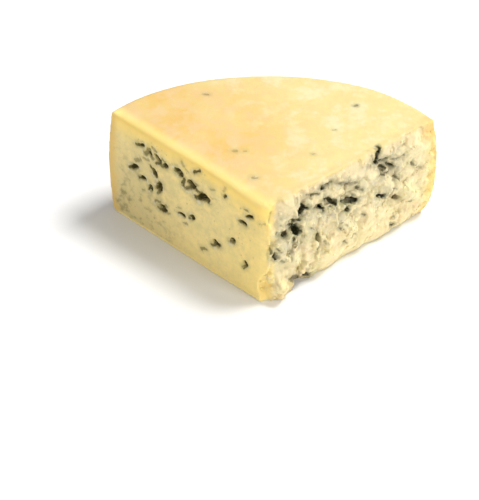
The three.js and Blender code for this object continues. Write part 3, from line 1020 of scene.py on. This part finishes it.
def plain_mesh(piece):
    """Turns a piece's modifiers into its own mesh."""
    evaluated = piece.evaluated_get(bpy.context.evaluated_depsgraph_get())
    mesh = bpy.data.meshes.new_from_object(evaluated)
    piece.modifiers.clear()
    piece.data = mesh
    return piece


def triangles(mesh):
    return sum(len(face.vertices) - 2 for face in mesh.polygons)


smooth = mouldy.node("GeometryNodeSetShadeSmooth", {}, {"Geometry": mouldy})
finish_tree(smooth, cheese_finish)
add_tree(skin, relief_wires, relief_values)
body = plain_mesh(skin)
thin = body.modifiers.new("Thin the flat parts", "DECIMATE")
thin.ratio = min(1, DENSEST / triangles(body.data))
plain_mesh(body)
bpy.data.objects.remove(veins)
print("cheese body's triangles:", triangles(body.data))

# %% [markdown]
# ## Crumbs
#
# Where cheese breaks, loose crumbs cling to the rough face. They could be set one by one, but
# there are hundreds, so Geometry Nodes scatter them over the finished body: in patches on the
# break, and none on the knife cut or the rind. Each is a small uneven ball, half sunk in, and
# takes over the mould values of the spot that it sits on. The crumbs are joined into one mesh.

# %% Crumbs that cling to the break
CRUMBS = {
    "Density": (SIZE, 80_000.0),
    "Smallest": (SIZE, 0.3 * MM),
    "Largest": (SIZE, 0.95 * MM),
    "Seed": ("NodeSocketInt", 5),
}
CRUMB_TOP_EDGE = (1 * MM, 3 * MM)
CRUMB_SIDES = 6
CRUMB_RINGS = 5
DENT_DEPTH = 0.9
DENT_SIZE = 1.3
FULL_TURN = (2 * math.pi, 2 * math.pi, 2 * math.pi)


def uneven_ball(position):
    """A ball of radius 1 with a few dozen faces, dented by noise."""
    sockets = {"Segments": CRUMB_SIDES, "Rings": CRUMB_RINGS, "Radius": 1.0}
    ball = position.node("GeometryNodeMeshUVSphere", {}, sockets)
    return pushed_out(ball, DENT_DEPTH * (position.noise(DENT_SIZE, seed=2.0) - 0.5))


def make_crumbs(body):
    """Crumbs scattered on the break, as one mesh."""
    wires, values = new_tree("Clinging crumbs", CRUMBS)
    position = wires["Geometry"].node("GeometryNodeInputPosition")
    at = depths(position)
    patchy = position.noise(7 * MM, detail=3, roughness=0.6, seed=31.0).rise(0.4, 0.6)
    density = wires["Density"] * regions(at).on_break * patchy * at.below_top.rise(*CRUMB_TOP_EDGE)
    sockets = {"Mesh": wires["Geometry"], "Density": density, "Seed": wires["Seed"]}
    points = position.node("GeometryNodeDistributePointsOnFaces", {}, sockets)
    sockets = {0: (0, 0, 0), 1: FULL_TURN, "Seed": wires["Seed"]}
    turn = position.node("FunctionNodeRandomValue", {"data_type": "FLOAT_VECTOR"}, sockets, 0)
    sockets = {2: wires["Smallest"], 3: wires["Largest"], "Seed": wires["Seed"]}
    size = position.node("FunctionNodeRandomValue", {"data_type": "FLOAT"}, sockets, 1)
    sockets = {"Points": points, "Instance": uneven_ball(position)}
    sockets.update({"Rotation": turn, "Scale": size})
    scattered = position.node("GeometryNodeInstanceOnPoints", {}, sockets)
    finish_tree(scattered, cheese_finish)
    crumbs = placed("clinging_crumbs", body.data.copy())
    add_tree(crumbs, wires, values)
    return plain_mesh(crumbs)


crumbs = make_crumbs(body)
print("crumbs' triangles:", triangles(crumbs.data))

# %% [markdown]
# ## Studio
#
# A white floor, a white surround and a large soft light from high on the right, which drops a
# short soft shadow to the left. A second light fills the break, and a weaker one the knife cut.
# A bright picture all round would light as softly, but three lights are easier to place.
# The camera is a long lens, looking down at the tip.

# %% Floor and light, with the lights' places and sizes in metres, then their power
FLOOR_SIZE = 6.0
FLOOR_FINISH = {"Base Color": (0.93, 0.93, 0.93, 1), "Roughness": 0.7}
LIGHTS = [
    ("high_right", (0.5, 0.17, 1.09), 0.5, 14.6),
    ("break_side", (0.9, -0.6, 0.42), 0.5, 5.5),
    ("knife_side", (-0.75, -0.95, 0.3), 0.6, 4.2),
]
SURROUND = {"Color": (1, 1, 1, 1), "Strength": 0.36}


def white_floor():
    mesh = bpy.data.meshes.new("floor")
    half = FLOOR_SIZE / 2
    corners = [(-half, -half, 0), (half, -half, 0), (half, half, 0), (-half, half, 0)]
    mesh.from_pydata(corners, [], [(0, 1, 2, 3)])
    floor = placed("floor", mesh)
    material, start = shader_start("white_floor")
    shader_end(start, FLOOR_FINISH)
    mesh.materials.append(material)


def soft_light(name, place, size, power):
    """A round soft light that looks at the wedge's middle."""
    light = bpy.data.lights.new(name, "AREA")
    light.shape = "DISK"
    light.size = size
    light.energy = power
    lamp = placed(name, light)
    lamp.location = place
    lamp.rotation_euler = ((low + high) / 2 - lamp.location).to_track_quat("-Z", "Y").to_euler()
    return lamp


def white_surround():
    world = bpy.data.worlds.new("white_surround")
    world.use_nodes = True
    for name, value in SURROUND.items():
        world.node_tree.nodes["Background"].inputs[name].default_value = value
    bpy.context.scene.world = world


white_floor()
white_surround()
lamps = [soft_light(*light) for light in LIGHTS]
bpy.context.scene.view_settings.view_transform = "Standard"
print("lights:", [lamp.name for lamp in lamps])

# %% Camera
AZIMUTH = math.radians(2.158)
ELEVATION = math.radians(39.379)
DISTANCE = 768 * MM
LENS_MM = 130.36
AIM_FROM_TIP = Vector((-12.49, 13.74, 20)) * MM


def place_camera():
    """The scene's camera, aimed at a spot behind the tip."""
    data = bpy.data.cameras.new("camera")
    data.lens = LENS_MM
    camera = placed("camera", data)
    aside = math.sin(AZIMUTH) * math.cos(ELEVATION)
    in_front = math.cos(AZIMUTH) * math.cos(ELEVATION)
    back = Vector((aside, -in_front, math.sin(ELEVATION)))
    camera.location = tip + AIM_FROM_TIP + DISTANCE * back
    camera.rotation_euler = (-back).to_track_quat("-Z", "Y").to_euler()
    bpy.context.scene.camera = camera
    return camera


camera = place_camera()
print("camera at", [round(c, 3) for c in camera.location])

# %% [markdown]
# ## Attach the pieces
#
# The body stands for the solid, which stays hidden for collision.

# %% Ride and replace
for piece in (body, crumbs):
    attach(piece, "root")
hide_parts(CHEESE_NODE)
